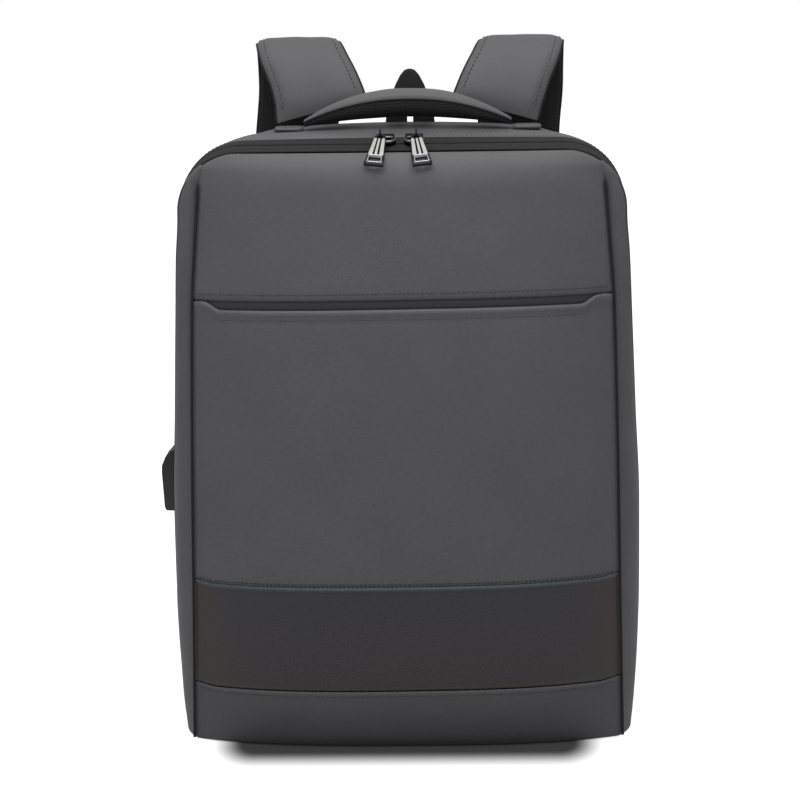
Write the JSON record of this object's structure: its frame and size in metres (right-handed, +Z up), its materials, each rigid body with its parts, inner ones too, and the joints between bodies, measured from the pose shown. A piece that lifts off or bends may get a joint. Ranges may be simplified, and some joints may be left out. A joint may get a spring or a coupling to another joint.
{
  "type": "laptop backpack with USB charging port",
  "caption": "Rectangular soft backpack with a zip-open front, padded straps and carry handle, an iridescent lower band and a charging port on one side.",
  "frame": {"origin": "on the underside of the base panel, at the middle of the bag's width and of its overall depth", "axes": "+Z up, -Y towards the front face, +X to the right seen from the front"},
  "size_m": [0.3407, 0.2043, 0.4844],
  "materials": {
    "shell_fabric": "satin coated twill",
    "sheen_band": "dark iridescent coating",
    "lining": "plain lining",
    "black_mesh": "padded air mesh",
    "black_webbing": "woven",
    "zip_chain": "moulded coil",
    "pull_metal": "dark polished",
    "socket_metal": "plain",
    "black_plastic": "fine satin"
  },
  "bodies": {
    "bag": {"back_panel": "black_webbing", "back_pad_left": "black_mesh", "back_pad_right": "black_mesh", "lumbar_pad": "black_mesh", "shoulder_yoke": "black_webbing", "top_panel": "shell_fabric", "side_panel_left": "shell_fabric", "side_panel_right": "shell_fabric", "base_panel": "shell_fabric", "zip_tape_rear": "black_webbing", "zip_chain_rear": "zip_chain", "zip_end_stop_left": "pull_metal", "zip_end_stop_right": "pull_metal", "laptop_divider": "lining", "usb_housing": "black_plastic", "usb_socket_shell": "socket_metal", "usb_socket_tongue": "black_plastic", "usb_back_plate": "black_plastic", "usb_screw_upper": "socket_metal", "usb_screw_lower": "socket_metal", "handle_tab_left": "shell_fabric", "handle_tab_right": "shell_fabric", "strap_anchor_left": "black_webbing", "strap_anchor_right": "black_webbing"},
    "lid": {"front_upper_panel": "shell_fabric", "front_pocket_panel": "shell_fabric", "iridescent_band": "sheen_band", "front_lower_panel": "shell_fabric", "pocket_lining": "lining", "pocket_mouth_facing": "sheen_band", "front_gusset_left": "shell_fabric", "front_gusset_right": "shell_fabric", "seam_piping_left": "black_webbing", "seam_piping_right": "black_webbing", "zip_tape_front": "black_webbing", "zip_chain_front": "zip_chain"},
    "handle": {"handle_cover": "shell_fabric", "handle_mesh": "black_mesh"},
    "hang_loop": {"hanging_loop": "black_webbing"},
    "zip_slider_left": {"slider_left": "pull_metal"},
    "link_left": {"pull_link_left": "pull_metal"},
    "tab_left": {"pull_tab_left": "pull_metal"},
    "shoulder_strap_left": {"strap_cover_left": "shell_fabric", "strap_mesh_left": "black_mesh", "ladder_loop_left": "black_webbing", "ladder_lock_left": "black_plastic", "strap_webbing_left": "black_webbing"},
    "zip_slider_right": {"slider_right": "pull_metal"},
    "link_right": {"pull_link_right": "pull_metal"},
    "tab_right": {"pull_tab_right": "pull_metal"},
    "shoulder_strap_right": {"strap_cover_right": "shell_fabric", "strap_mesh_right": "black_mesh", "ladder_loop_right": "black_webbing", "ladder_lock_right": "black_plastic", "strap_webbing_right": "black_webbing"}
  },
  "joints": [
    {"name": "front_opening", "type": "hinge", "parent": "bag", "child": "lid", "pos_m": [0, -0.1042, 0.0005], "axis": [1, 0, 0], "range_deg": [0, 75]},
    {"name": "zip_slide_left", "type": "slide", "parent": "lid", "child": "zip_slider_left", "axis": [-1, 0, 0], "range_m": [0, 0.085]},
    {"name": "link_swing_left", "type": "hinge", "parent": "zip_slider_left", "child": "link_left", "pos_m": [-0.0141, -0.06108, 0.42278], "axis": [1, 0, 0], "range_deg": [-60, 0]},
    {"name": "tab_turn_left", "type": "hinge", "parent": "link_left", "child": "tab_left", "pos_m": [-0.0141, -0.0659, 0.42107], "axis": [0, -0.527, 0.8499], "range_deg": [-18, 18]},
    {"name": "zip_slide_right", "type": "slide", "parent": "lid", "child": "zip_slider_right", "axis": [1, 0, 0], "range_m": [0, 0.085]},
    {"name": "link_swing_right", "type": "hinge", "parent": "zip_slider_right", "child": "link_right", "pos_m": [0.0104, -0.06108, 0.42278], "axis": [1, 0, 0], "range_deg": [-60, 0]},
    {"name": "tab_turn_right", "type": "hinge", "parent": "link_right", "child": "tab_right", "pos_m": [0.0104, -0.0659, 0.42107], "axis": [0, -0.527, 0.8499], "range_deg": [-18, 18]},
    {"name": "handle_swing", "type": "hinge", "parent": "bag", "child": "handle", "pos_m": [0, -0.0032, 0.4265], "axis": [1, 0, 0], "range_deg": [-20, 20]},
    {"name": "loop_swing", "type": "hinge", "parent": "bag", "child": "hang_loop", "pos_m": [0, 0.0334, 0.424], "axis": [1, 0, 0], "range_deg": [-30, 30]},
    {"name": "strap_swing_right", "type": "hinge", "parent": "bag", "child": "shoulder_strap_right", "pos_m": [0.0625, 0.0383, 0.432], "axis": [0.1774, 0.0176, -0.984], "range_deg": [-6, 20]},
    {"name": "strap_swing_left", "type": "hinge", "parent": "bag", "child": "shoulder_strap_left", "pos_m": [-0.0625, 0.0383, 0.432], "axis": [0.1774, -0.0176, 0.984], "range_deg": [-6, 20]}
  ]
}
